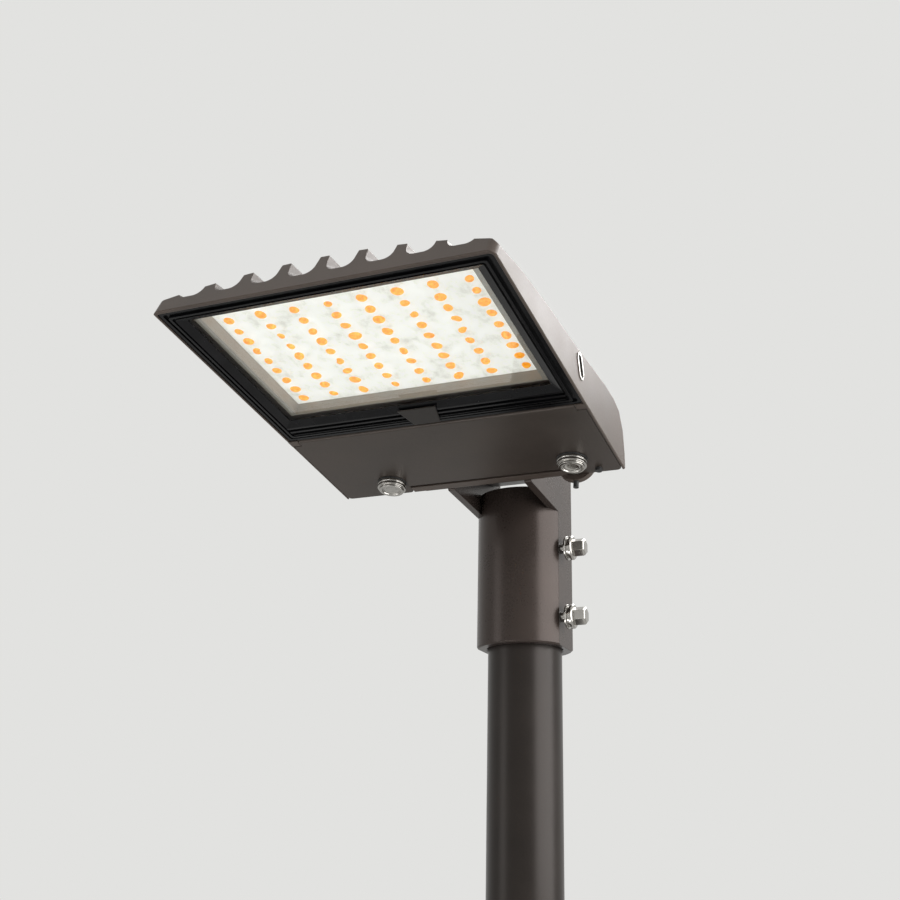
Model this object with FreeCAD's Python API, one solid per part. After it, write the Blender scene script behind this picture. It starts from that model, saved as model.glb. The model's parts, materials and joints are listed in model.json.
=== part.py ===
"""Shoebox area light on an adjustable slip fitter, one solid for each separate piece.

Row frame: X to the right, Y to the back (the lamp head reaches forward along -Y), Z up.
The origin is the centre of the pole's lower end. Millimetres.
The head is drawn level, in its own frame, and then tilted into place: there y runs along
the head from the pole's axis (negative is forward) and z = 0 is the flat underside.
"""
import FreeCAD, Part
import math
import os

V = FreeCAD.Vector
X_AXIS, Y_AXIS, Z_AXIS = V(1, 0, 0), V(0, 1, 0), V(0, 0, 1)

# ---------------------------------------------------------------- driving dimensions
# pole
pole_od = 60.3            # 2 3/8 inch tenon
pole_wall = 3.9
pole_below = 210.0        # pole that shows under the fitter
pole_inside = 96.0        # pole that stands inside the fitter

# slip fitter
slip_gap = 0.3            # round the pole
fitter_od = 78.8
fitter_height = 128.0
flat_half_width = 35.2    # flats down both sides of the fitter, and the cheeks' outer faces
cheek_thick = 6.0
cheek_reach = 84.0        # from the pole's axis to the cheeks' front edge
cheek_low = 110.0         # where the cheeks leave the round body
cheek_front_low = 5.5     # how far the cheeks' lower edge rises towards the front
cheek_front_height = 34.0
pivot_height = 160.0      # above the fitter's lower rim
cheek_round = 17.7
cheek_root = 12.0         # depth that the cheeks reach down into the fitter
cheek_bevel = 8.0         # cut corner at the top of the front edge
cheek_nose = 1.0
cheek_neck_share = 0.42   # where the lower edge leaves the fitter, as a share of its radius
wire_hole_r = 12.0
bushing_wall, bushing_deep, bushing_flange = 2.0, 8.0, 3.0
rim_chamfer = 1.2

# set bolts in the fitter
bolt_heights = (23.0, 79.5)
bolt_y = -12.0            # the bolts stand a little in front of the pole's axis
bolt_show = 5.0           # shank that shows between the flat and the washers
bolt_r = 4.0
thread_gap = 0.05
washer_r, washer_thick = 9.8, 1.6
spring_washer_r, spring_washer_thick = 8.2, 2.2
bolt_flange_r, bolt_flange_thick, bolt_flange_chamfer = 9.9, 3.0, 0.8
spring_split = 1.2
bolt_head_flats, bolt_head_height = 12.6, 9.6

# tilt joint
tilt_deg = 9.0
pivot_bolt_r = 5.0
pivot_head_flats, pivot_head_height = 17.0, 6.4
pivot_bolt_end = 4.0      # thread that shows beyond the nut
pivot_washer_r, pivot_washer_thick = 11.0, 2.0
friction_washer_r, friction_washer_thick = 14.0, 1.2
side_play = 0.15
arm_round = 16.0

# arm plate on the back of the head
plate_half_width = 54.0
plate_low, plate_high = 4.0, 42.0
plate_thick = 7.0
plate_corner_r = 6.0
plate_gasket = 1.0
arm_low, arm_high = 17.0, 38.0
arm_bolt_x = 44.5
arm_bolt_inset = 8.0
arm_bolt_r = 3.0
arm_bolt_flats, arm_bolt_head = 10.0, 4.0
arm_washer_r, arm_washer_thick = 6.2, 1.2
arm_bolt_grip = 9.0
wireway_r = 8.0
wireway_reach = 42.0

# head housing
head_plane = 94.0         # height of the underside's plane at the pole's axis, above the fitter's rim
half_width = 115.3
front_y, rear_y = -380.0, -105.0
front_lean = 10.0         # the front wall leans back this much over front_lean_height
front_lean_height = 27.0
corner_r = 5.0
rim = 2.0                 # casting that shows round the lens frame and the door
edge_round = 3.0          # rounding along the top of the sides
lower_chamfer = 0.7       # bright edge along the bottom of the front and the sides
pad_margin, pad_deep = 2.0, 10.0   # mounting pad round the arm plate, and how far it runs into the back
recess_corner_r, glass_corner_r = 3.0, 2.0
# stations along the head: y, height at the sides, height on the centre line
crown = ((-381.0, 10.5, 25.5), (-368.0, 13.0, 27.0), (-337.0, 20.0, 29.5), (-285.0, 27.5, 33.5),
         (-240.0, 32.0, 38.0), (-203.0, 37.0, 42.0), (-160.0, 42.8, 46.0), (-139.0, 44.0, 46.5),
         (-124.0, 41.5, 43.5), (-113.0, 31.0, 33.0), (-107.0, 15.0, 16.0))

# cooling fins
fin_pitch = 26.4
fin_count = 9
trough_half = 9.4         # half width of the trough where its sides leave the round corners
trough_corner_r = 6.5
trough_lean = 7.0         # degrees that the fins' flanks lean
trough_top = 40.0
# trough floor: y, height
trough_floor = ((-384.0, 8.6), (-376.0, 11.2), (-356.0, 19.8), (-228.0, 25.5), (-214.0, 33.0), (-202.0, 52.0))

# lens frame
seam_y = -204.0           # between lens frame and door
fit_gap = 0.3
frame_depth = 5.0
frame_side_band = 14.0
frame_rear_band = 25.0
frame_front_y = -376.6
frame_lip = 2.5
frame_lip_drop = 0.8
groove_wide, groove_deep = 2.6, 2.4
rib_wide = 1.6
long_groove_wide, long_groove_gap = 3.2, 1.9
bevel_wide, bevel_rise = 6.0, 2.6
glass_thick = 3.0
glass_seat = 4.0          # glass that lies on the frame
glass_level = 3.0
gasket_wide = 3.2

# light engine
lip_wide = 5.5            # flat lip of the reflector frame, at the sides
lip_front_wide, lip_rear_wide = 3.4, 2.0
reflector_level = 6.3
reflector_sheet = 1.0
wall_slope = 1.6
board_level = 14.5        # face of the board
board_thick = 1.6
pad_thick = 0.4
sheet_thick = 0.8
led_columns, led_rows = 8, 10
led_side_margin, led_front_margin, led_rear_margin = 14.3, 8.6, 9.8   # window edge to the outer lights
led_r, led_drop = 2.9, 2.7
led_hole_r = 3.6
chamber_wall = 5.0

# driver compartment and door
door_thick = 3.0
door_gap = 0.4
door_gasket, door_gasket_wide = 2.0, 4.0
bay_half_width = half_width - 7.8
bay_front_y, bay_rear_y = -193.0, -121.0
slot_front_y, slot_rear_y = -115.5, -112.2    # dark slot behind the door, between its two tabs
tab_left_x, tab_right_x = 60.3 - half_width, half_width - 44.3
hinge_y, hinge_z = -200.4, 2.2
hinge_barrel_r = 2.2
hinge_pin_r = 1.5
hinge_pin_length = 15.0
hinge_play = 0.05
hinge_swing = 1.0         # door's gap behind the lugs, so that its corners swing clear of them
lug_wide = 6.0

# thumb screws: x, y
thumb_places = ((49.3 - half_width, -124.0), (half_width - 33.3, -129.0))
thumb_r, thumb_thick = 11.0, 4.6
thumb_end_r, thumb_end_thick = 9.6, 1.8
thumb_dish_r, thumb_dish_deep = 6.8, 1.0
coin_slot_wide, coin_slot_deep = 1.8, 1.4
rim_groove, rim_groove_deep = 0.8, 0.4
thumb_shank_r, thumb_shank_length = 3.0, 14.0
thumb_washer_r, thumb_washer_thick = 11.4, 0.8
boss_r = 8.5
boss_height = 16.0        # depth of the holes for the thumb screws
boss_top = 60.0           # the bosses are cut from the compartment, up past its ceiling
stud_room = 1.8           # round the shanks in the housing, so that they swing out with the door

# small pieces
clip_front_y, clip_rear_y = -227.0, -206.6
clip_front_half, clip_rear_half = 14.5, 10.0
clip_thick = 0.8
eyelet_y, eyelet_z = -218.5, 20.5
eyelet_long, eyelet_wide = 18.2, 9.0
eyelet_lean = 30.0
eyelet_wall, eyelet_proud, eyelet_lip = 1.1, 0.6, 0.5
eyelet_deep = 7.0
lug_x, lug_half, lug_drop, lug_thick = half_width - 38.3, 15.0, 4.6, 5.0
stud_r, stud_drop = 2.1, 9.6
stud_neck_r, stud_grip = 1.4, 6.0
vent_x, vent_y, vent_r, vent_drop = half_width - 18.3, -111.0, 2.6, 2.6

# things in the driver compartment
driver_x, driver_y, driver_z = (-104.0, 36.0), (-190.0, -136.0), (8.0, 30.0)
driver_flange, driver_flange_thick = 7.0, 1.6
surge_x, surge_y, surge_z = (46.0, 92.0), (-190.0, -163.0), (12.0, 30.0)
block_x, block_y, block_z = (44.0, 68.0), (-156.0, -138.0), (18.0, 32.0)
small_screw_r, small_head_r, small_head = 1.5, 2.9, 1.6
small_screw_grip, small_hole_deep = 4.5, 5.0
hang_boss_r, hang_boss_top = 3.5, 42.0     # bosses that run up into the casting
lead_r, lead_z, lead_x = 2.0, 15.4, -60.0

# ---------------------------------------------------------------- worked out from them
pole_r = pole_od / 2
fitter_r = fitter_od / 2
bore_r = pole_r + slip_gap
bolt_seat = flat_half_width + bolt_show + washer_thick + spring_washer_thick   # under the bolts' flanges
fitter_base = pole_below
cheek_in = flat_half_width - cheek_thick
pivot = V(0, 0, fitter_base + pivot_height)
plate_front_y = rear_y + plate_gasket
plate_back_y = plate_front_y + plate_thick
way_z = (plate_low + plate_high) / 2
frame_half = half_width - rim
window_half = frame_half - frame_side_band
window_front_y = frame_front_y + frame_side_band
frame_rear_y = seam_y
window_rear_y = frame_rear_y - frame_rear_band
board_back = board_level + board_thick
chamber_top = board_back + pad_thick
chamber_half = window_half - 0.5
chamber_front_y, chamber_rear_y = window_front_y + 2.0, window_rear_y - 0.5
door_half = half_width - rim + fit_gap - door_gap
door_front_y = seam_y + door_gap
hinge_lug_rear_y = hinge_y + hinge_barrel_r + 1.0
ledge = door_thick + door_gasket
led_pitch_x = 2 * (window_half - led_side_margin) / (led_columns - 1)
led_front_y, led_rear_y = window_front_y + led_front_margin, window_rear_y - led_rear_margin
led_pitch_y = (led_rear_y - led_front_y) / (led_rows - 1)
led_centre_y = (led_front_y + led_rear_y) / 2
bay_ceiling = ((bay_front_y, 32.5), (-156.0, 38.5), (-140.0, 39.5), (-127.0, 36.0), (bay_rear_y, 26.0))


# ---------------------------------------------------------------- shapes used throughout
def box(x0, x1, y0, y1, z0, z1):
    return Part.makeBox(x1 - x0, y1 - y0, z1 - z0, V(x0, y0, z0))


def rod(r, length, start, direction=Z_AXIS):
    return Part.makeCylinder(r, length, start, direction)


def tube(r_out, r_in, length, start, direction=Z_AXIS):
    return rod(r_out, length, start, direction).cut(rod(r_in, length, start, direction))


def prism(points, thickness, direction):
    """Flat outline, closed by straight lines, pushed along a direction."""
    wire = Part.makePolygon([V(*p) for p in points] + [V(*points[0])])
    return Part.Face(wire).extrude(direction * thickness)


def side_plate(outline, x0, x1):
    """Outline in y and z, pushed from x0 to x1."""
    return prism([(x0, y, z) for y, z in outline], x1 - x0, X_AXIS)


def round_upright(shape, r):
    """Rounds the upright edges of a straight-sided block."""
    edges = [e for e in shape.Edges
             if abs(e.Vertexes[0].Point.x - e.Vertexes[-1].Point.x) < 1e-6
             and abs(e.Vertexes[0].Point.y - e.Vertexes[-1].Point.y) < 1e-6
             and e.Length > 1e-6]
    return shape.makeFillet(r, edges)


def slab(half, y0, y1, z0, z1, r):
    """Block centred on x = 0 with rounded upright corners."""
    return round_upright(box(-half, half, y0, y1, z0, z1), r)


def hexagon(flats, height, start, direction):
    """Hexagon bar with its far end chamfered, as on a bolt's head."""
    r = flats / math.sqrt(3)
    ring = [V(r * math.cos(math.radians(60 * k)), r * math.sin(math.radians(60 * k)), 0) for k in range(7)]
    bar = Part.Face(Part.makePolygon(ring)).extrude(Z_AXIS * height)
    cone = Part.makeCone(flats / 2 + height * 1.7, flats / 2 * 0.97, height)
    bar = bar.common(cone)
    bar.Placement = FreeCAD.Placement(start, FreeCAD.Rotation(Z_AXIS, direction))
    return bar


def group(shapes):
    return Part.makeCompound(shapes)


def raised(shape, height=fitter_base):
    moved = shape.copy()
    moved.translate(V(0, 0, height))
    return moved


def tilted(shape):
    """From the level head frame to the row frame."""
    moved = shape.copy()
    moved.rotate(V(0, 0, 0), X_AXIS, -tilt_deg)
    moved.translate(V(0, 0, fitter_base + head_plane))
    return moved


def pivot_in_head():
    """The tilt pivot's y and z in the level head frame."""
    t = math.radians(tilt_deg)
    drop = pivot_height - head_plane
    return -drop * math.sin(t), drop * math.cos(t)


# ---------------------------------------------------------------- pole and slip fitter
def pole_section():
    return tube(pole_r, pole_r - pole_wall, pole_below + pole_inside, V(0, 0, 0))


def cheek(x0):
    """Side view: upright back, round over the pivot, then a straight slope to the front edge."""
    foot = cheek_low - cheek_root
    front_z = cheek_low + cheek_front_low
    top_z = front_z + cheek_front_height
    front_top = V(x0, cheek_bevel - cheek_reach, top_z)
    centre = V(x0, 0, pivot_height)
    away = front_top - centre
    meets = math.atan2(away.z, away.y) % (2 * math.pi) - math.acos(cheek_round / away.Length)
    on_arc = [centre + V(0, math.cos(a), math.sin(a)) * cheek_round for a in (0.0, meets / 2, meets)]
    neck = -fitter_r * cheek_neck_share
    corners = [on_arc[2], front_top, V(x0, -cheek_reach, top_z - cheek_bevel),
               V(x0, -cheek_reach, front_z + cheek_nose), V(x0, cheek_nose - cheek_reach, front_z),
               V(x0, neck, cheek_low), V(x0, neck, foot), V(x0, cheek_round, foot), on_arc[0]]
    edges = [Part.LineSegment(a, b).toShape() for a, b in zip(corners, corners[1:])]
    edges.append(Part.Arc(*on_arc).toShape())
    return Part.Face(Part.Wire(edges)).extrude(X_AXIS * cheek_thick)


def slip_fitter():
    body = rod(fitter_r, fitter_height, V(0, 0, 0))
    for side in (-1, 1):
        x0 = cheek_in if side > 0 else -flat_half_width
        body = body.fuse(cheek(x0))
    reach = fitter_od + cheek_reach
    for side in (-1, 1):
        x0 = flat_half_width if side > 0 else -flat_half_width - fitter_r
        body = body.cut(box(x0, x0 + fitter_r, -reach, reach, -1.0, pivot_height + fitter_od))
    body = body.cut(rod(bore_r, pole_inside + slip_gap, V(0, 0, 0)))
    body = body.cut(rod(wire_hole_r, fitter_height + 1.0, V(0, 0, 0)))
    for z in bolt_heights:
        body = body.cut(rod(bolt_r + thread_gap, fitter_r, V(bore_r - bolt_r, bolt_y, z), X_AXIS))
    body = body.cut(rod(pivot_bolt_r + thread_gap, 2 * fitter_r, V(-fitter_r, 0, pivot_height), X_AXIS))
    rims = [e for e in body.Edges if e.BoundBox.ZMax < 1e-3 and abs(e.BoundBox.DiagonalLength) > fitter_r]
    body = body.makeChamfer(rim_chamfer, rims)
    return raised(body)


def set_bolt(z):
    """Flanged hexagon bolt, screwed in until its tip almost meets the pole."""
    tip = math.sqrt(bore_r ** 2 - (abs(bolt_y) - bolt_r) ** 2)
    shank = rod(bolt_r, bolt_seat - tip + bolt_flange_thick / 2, V(tip, bolt_y, z), X_AXIS)
    flange = rod(bolt_flange_r, bolt_flange_thick, V(bolt_seat, bolt_y, z), X_AXIS)
    outer = [e for e in flange.Edges if e.BoundBox.XMin > bolt_seat + bolt_flange_thick / 2
             and e.BoundBox.YLength > bolt_flange_r]
    flange = flange.makeChamfer(bolt_flange_chamfer, outer)
    head = hexagon(bolt_head_flats, bolt_head_height, V(bolt_seat + bolt_flange_thick, bolt_y, z), X_AXIS)
    return raised(shank.fuse(flange).fuse(head).removeSplitter())


def set_bolt_washers():
    return group([raised(tube(washer_r, bolt_r + thread_gap, washer_thick,
                              V(flat_half_width + bolt_show, bolt_y, z), X_AXIS)) for z in bolt_heights])


def set_bolt_spring_washers():
    rings = []
    start = flat_half_width + bolt_show + washer_thick
    half = spring_split / 2
    for z in bolt_heights:
        ring = tube(spring_washer_r, bolt_r + thread_gap, spring_washer_thick, V(start, bolt_y, z), X_AXIS)
        split = box(start - 1.0, bolt_seat + 1.0, bolt_y - half, bolt_y + half, z, z + washer_r)
        rings.append(raised(ring.cut(split)))
    return group(rings)


def tilt_pivot_bolt():
    seat = flat_half_width + pivot_washer_thick
    beyond = pivot_head_height + pivot_bolt_end
    shank = rod(pivot_bolt_r, 2 * seat + beyond, V(-seat - beyond, 0, pivot_height), X_AXIS)
    head = hexagon(pivot_head_flats, pivot_head_height, V(seat, 0, pivot_height), X_AXIS)
    return raised(shank.fuse(head).removeSplitter())


def tilt_pivot_nut():
    seat = -flat_half_width - pivot_washer_thick
    nut = hexagon(pivot_head_flats, pivot_head_height, V(seat, 0, pivot_height), -X_AXIS)
    bore = rod(pivot_bolt_r + thread_gap, 2 * pivot_head_height,
               V(seat - 1.5 * pivot_head_height, 0, pivot_height), X_AXIS)
    return raised(nut.cut(bore))


def tilt_pivot_washers():
    places = (flat_half_width, -flat_half_width - pivot_washer_thick)
    return group([raised(tube(pivot_washer_r, pivot_bolt_r + thread_gap, pivot_washer_thick,
                              V(x, 0, pivot_height), X_AXIS)) for x in places])


def pole_cap_bushing():
    """Rubber bushing in the hole that the supply wires rise through."""
    seat = fitter_height
    inside = wire_hole_r - bushing_wall
    sleeve = tube(wire_hole_r, inside, bushing_deep, V(0, 0, seat - bushing_deep))
    flange = tube(wire_hole_r + bushing_flange, inside, bushing_wall, V(0, 0, seat))
    return raised(sleeve.fuse(flange).removeSplitter())


# ---------------------------------------------------------------- arm between fitter and head
def arm_half_width():
    return cheek_in - friction_washer_thick - 2 * side_play


def tilt_arm():
    half = arm_half_width()
    py, pz = pivot_in_head()
    plate = box(-plate_half_width, plate_half_width, plate_front_y, plate_back_y, plate_low, plate_high)
    edges = [e for e in plate.Edges if e.BoundBox.YLength > plate_thick - 0.1
             and e.BoundBox.XLength < 0.1 and e.BoundBox.ZLength < 0.1]
    plate = plate.makeFillet(plate_corner_r, edges)
    # the arm's side view is the hull of the plate's side and the round boss on the pivot
    length = math.hypot(py - plate_back_y, pz - arm_high)
    rise = math.atan2(pz - arm_high, py - plate_back_y) + math.asin(arm_round / length)
    low_length = math.hypot(py - plate_back_y, pz - arm_low)
    fall = math.atan2(pz - arm_low, py - plate_back_y) - math.asin(arm_round / low_length)
    top = (py - arm_round * math.sin(rise), pz + arm_round * math.cos(rise))
    low = (py + arm_round * math.sin(fall), pz - arm_round * math.cos(fall))
    outline = [(plate_back_y - 1.0, arm_low), (plate_back_y, arm_low), low, (py, pz), top,
               (plate_back_y, arm_high), (plate_back_y - 1.0, arm_high)]
    arm = side_plate(outline, -half, half)
    arm = arm.fuse(rod(arm_round, 2 * half, V(-half, py, pz), X_AXIS))
    body = plate.fuse(arm).removeSplitter()
    body = body.cut(rod(pivot_bolt_r + thread_gap, 2 * half + 2.0, V(-half - 1.0, py, pz), X_AXIS))
    for x, z in arm_bolt_places():
        body = body.cut(rod(arm_bolt_r + fit_gap, plate_thick + 2.0, V(x, plate_front_y - 1.0, z), Y_AXIS))
    body = body.cut(rod(wireway_r, wireway_reach, V(0, plate_front_y, way_z), Y_AXIS))
    body = body.cut(rod(wireway_r, plate_high, V(0, plate_front_y + wireway_reach - wireway_r, way_z), -Z_AXIS))
    return tilted(body)


def arm_bolt_places():
    return [(x, z) for x in (-arm_bolt_x, arm_bolt_x)
            for z in (plate_low + arm_bolt_inset, plate_high - arm_bolt_inset)]


def arm_bolts():
    seat = plate_back_y + arm_washer_thick
    bolts = []
    for x, z in arm_bolt_places():
        shank = rod(arm_bolt_r, seat - rear_y + arm_bolt_grip, V(x, rear_y - arm_bolt_grip, z), Y_AXIS)
        head = hexagon(arm_bolt_flats, arm_bolt_head, V(x, seat, z), Y_AXIS)
        bolts.append(tilted(shank.fuse(head).removeSplitter()))
    return group(bolts)


def arm_bolt_washers():
    return group([tilted(tube(arm_washer_r, arm_bolt_r + thread_gap, arm_washer_thick,
                              V(x, plate_back_y, z), Y_AXIS)) for x, z in arm_bolt_places()])


def arm_gasket():
    sheet = box(-plate_half_width, plate_half_width, rear_y, plate_front_y, plate_low, plate_high)
    sheet = sheet.cut(rod(wireway_r + 2.0, 3 * plate_gasket, V(0, rear_y - plate_gasket, way_z), Y_AXIS))
    for x, z in arm_bolt_places():
        sheet = sheet.cut(rod(arm_bolt_r + fit_gap, 3 * plate_gasket, V(x, rear_y - plate_gasket, z), Y_AXIS))
    return tilted(sheet)


def friction_washers():
    py, pz = pivot_in_head()
    half = arm_half_width()
    return group([tilted(tube(friction_washer_r, pivot_bolt_r + thread_gap, friction_washer_thick,
                              V(x, py, pz), X_AXIS))
                  for x in (half + side_play / 2, -half - side_play / 2 - friction_washer_thick)])


# ---------------------------------------------------------------- housing casting
def crown_section(y, side_z, mid_z):
    """Cross-section of the head: straight sides, a cut corner and a crowned top."""
    w = half_width
    lower = side_z - edge_round
    corner = [V(-w + edge_round, y, side_z), V(-w, y, lower), V(-w, y, 0), V(w, y, 0),
              V(w, y, lower), V(w - edge_round, y, side_z)]
    edges = [Part.LineSegment(a, b).toShape() for a, b in zip(corner, corner[1:])]
    edges.append(Part.Arc(corner[-1], V(0, y, mid_z), corner[0]).toShape())
    return Part.Wire(edges)


def head_envelope():
    """The head's outside without its fins' troughs: front block, then smooth back."""
    stations = list(crown) + [(rear_y, 6.0, 6.6)]
    body = Part.makeLoft([crown_section(*s) for s in stations], True, True)
    lean = [(front_y - 20.0, -1.0), (front_y - front_lean / front_lean_height, -1.0),
            (front_y + front_lean * 2, front_lean_height * 2), (front_y - 20.0, front_lean_height * 2)]
    body = body.cut(side_plate(lean, -half_width - 1.0, half_width + 1.0))
    uprights = [e for e in body.Edges if e.Length > 5.0 and e.BoundBox.YMax < front_y + front_lean
                and e.BoundBox.XLength < 1e-3 and e.BoundBox.ZMin < 1e-3 and e.BoundBox.ZLength > 5.0]
    body = body.makeFillet(corner_r, uprights)
    return body.cut(lower_edges())


def lower_edges():
    """Slivers cut from the bottom edge of the front and both sides."""
    c = lower_chamfer
    w = half_width
    sides = []
    for side in (-1, 1):
        corners = [(side * (w - c), front_y, 0), (side * (w + c), front_y, 2 * c), (side * (w + c), front_y, 0)]
        sides.append(prism(corners, rear_y - front_y, Y_AXIS))
    front = prism([(-w, front_y + c, 0), (-w, front_y - c, 2 * c), (-w, front_y - c, 0)], 2 * w, X_AXIS)
    return sides + [front]


def trough_section(x, y, floor):
    """Trough with a flat floor, round corners and leaning sides, open far above the casting."""
    r = trough_corner_r
    flat = trough_half - r
    lean = math.radians(trough_lean)
    top = floor + trough_top
    edges = []
    for side in (1, -1):
        low = V(x + side * flat, y, floor)
        mid = V(x + side * (flat + r * math.sin((math.pi / 2 - lean) / 2)), y,
                floor + r - r * math.cos((math.pi / 2 - lean) / 2))
        high = V(x + side * (flat + r * math.cos(lean)), y, floor + r - r * math.sin(lean))
        rise = top - high.z
        out = V(high.x + side * rise * math.tan(lean), y, top)
        edges.append([low, mid, high, out])
    (low_r, mid_r, high_r, out_r), (low_l, mid_l, high_l, out_l) = edges
    wire = [Part.LineSegment(low_l, low_r), Part.Arc(low_r, mid_r, high_r), Part.LineSegment(high_r, out_r),
            Part.LineSegment(out_r, out_l), Part.LineSegment(out_l, high_l), Part.Arc(high_l, mid_l, low_l)]
    return Part.Wire([edge.toShape() for edge in wire])


def fin_troughs():
    first = -(fin_count - 2) / 2 * fin_pitch
    return [Part.makeLoft([trough_section(first + k * fin_pitch, y, z) for y, z in trough_floor], True, True)
            for k in range(fin_count - 1)]


def eyelet_outline(grow, x0, x1):
    """Long round-ended bar across the side wall, leaning forward."""
    half_long, half_wide = eyelet_long / 2 + grow, eyelet_wide / 2 + grow
    straight = half_long - half_wide
    bar = box(x0, x1, -half_wide, half_wide, -straight, straight)
    for z in (-straight, straight):
        bar = bar.fuse(rod(half_wide, x1 - x0, V(x0, 0, z), X_AXIS))
    bar = bar.removeSplitter()
    bar.rotate(V(0, 0, 0), X_AXIS, eyelet_lean)
    bar.translate(V(0, eyelet_y, eyelet_z))
    return bar


def driver_bay():
    outline = [(bay_front_y, -1.0)] + list(bay_ceiling) + [(bay_rear_y, -1.0)]
    return side_plate(outline, -bay_half_width, bay_half_width)


def hinge_lugs():
    """Corner lugs that the door's hinge pins turn in."""
    lugs = []
    for side in (-1, 1):
        inner = door_half - lug_wide
        x0 = inner if side > 0 else -half_width + 0.5
        x1 = x0 + half_width - 0.5 - inner
        lugs.append(box(x0, x1, seam_y + fit_gap, hinge_lug_rear_y, 0.0, ledge + 1.0))
    return lugs


def rear_lug():
    """Round lug behind the door's right rear corner, hanging a little below the underside."""
    centre = lug_half - lug_drop
    drop = rod(lug_half, lug_thick, V(lug_x, rear_y + fit_gap, centre), Y_AXIS)
    root = box(lug_x - lug_half, lug_x + lug_half, slot_front_y, rear_y + fit_gap,
               door_thick + fit_gap, centre)
    upper = box(-half_width, half_width, rear_y + fit_gap, 0.0, centre, half_width)
    return drop.fuse(root).cut(upper).removeSplitter()


def door_recess():
    """Room for the door, its gasket and the slot behind its rear edge."""
    room = door_half + door_gap
    mid = box(tab_left_x - door_gap, tab_right_x + door_gap, seam_y - 1.0, slot_rear_y, -1.0, ledge)
    deep = box(-room, room, seam_y - 1.0, slot_front_y, -1.0, ledge)
    left = box(-room, tab_left_x, seam_y, rear_y + 1.0, -1.0, door_thick + fit_gap)
    right = box(tab_right_x, room, seam_y, rear_y + 1.0, -1.0, door_thick + fit_gap)
    return [mid, deep, left, right]


def housing():
    body = head_envelope()
    for trough in fin_troughs():
        body = body.cut(trough)
    # mounting pad for the arm on the curved back
    pad_half = plate_half_width + pad_margin
    pad = box(-pad_half, pad_half, bay_rear_y - pad_deep, rear_y, ledge, plate_high + pad_margin)
    body = body.fuse(pad)
    # recesses from below
    body = body.cut(slab(frame_half + fit_gap, frame_front_y - fit_gap, seam_y + 2.0,
                         -1.0, frame_depth, recess_corner_r))
    seat = glass_seat + fit_gap
    body = body.cut(slab(window_half + seat, window_front_y - seat, window_rear_y + seat,
                         0.0, glass_level + glass_thick + fit_gap, glass_corner_r))
    for room in door_recess():
        body = body.cut(room)
    body = body.cut(box(-chamber_half, chamber_half, chamber_front_y, chamber_rear_y, 0.0, chamber_top))
    bay = driver_bay()
    for x, y in thumb_places:
        boss = rod(boss_r, boss_top, V(x, y, ledge))
        web = box(x - boss_r, x + boss_r, y, bay_rear_y + 1.0, ledge, boss_top)
        bay = bay.cut(boss.fuse(web))
    body = body.cut(bay)
    for lug_block in hinge_lugs():
        body = body.fuse(lug_block)
    body = body.fuse(rear_lug())
    # bosses that carry the driver, the surge protector and the terminal block
    for x, y, top in hanging_places():
        body = body.fuse(rod(hang_boss_r, hang_boss_top - top, V(x, y, top)))
    # holes
    for x, y in thumb_places:
        body = body.cut(rod(thumb_shank_r + stud_room, boss_height, V(x, y, 0)))
    for x, z in arm_bolt_places():
        start = V(x, rear_y - arm_bolt_grip - thread_gap, z)
        body = body.cut(rod(arm_bolt_r + thread_gap, 2 * arm_bolt_grip, start, Y_AXIS))
    body = body.cut(rod(wireway_r, 5 * wireway_r, V(0, bay_rear_y - wireway_r, way_z), Y_AXIS))
    start = V(lead_x, chamber_rear_y - lead_r, lead_z)
    body = body.cut(rod(lead_r + fit_gap, bay_front_y - chamber_rear_y + 2 * lead_r, start, Y_AXIS))
    for side in (-1, 1):
        start = V(side * (door_half - lug_wide - 1.0), hinge_y, hinge_z)
        body = body.cut(rod(hinge_pin_r + hinge_play, lug_wide, start, X_AXIS * side))
    body = body.cut(eyelet_outline(0.0, half_width - eyelet_deep, half_width + 5.0))
    for x, y, top in hanging_places():
        body = body.cut(rod(small_screw_r + thread_gap, small_hole_deep, V(x, y, top)))
    for x, y in board_screw_places():
        body = body.cut(rod(small_screw_r + thread_gap, 3.0, V(x, y, chamber_top - 0.2)))
    body = body.cut(rod(stud_neck_r + thread_gap, stud_grip + 1.5, V(lug_x, stud_y(), -lug_drop - 1.0)))
    return tilted(body)


# ---------------------------------------------------------------- lens frame and light engine
def frame_ring(inset_out, inset_in, z0, z1):
    """Rectangular ring between two insets from the lens frame's outer edge."""
    def block(inset):
        return slab(frame_half - inset, frame_front_y + inset, frame_rear_y - inset, z0, z1, 2.0)
    return block(inset_out).cut(block(inset_in))


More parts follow.
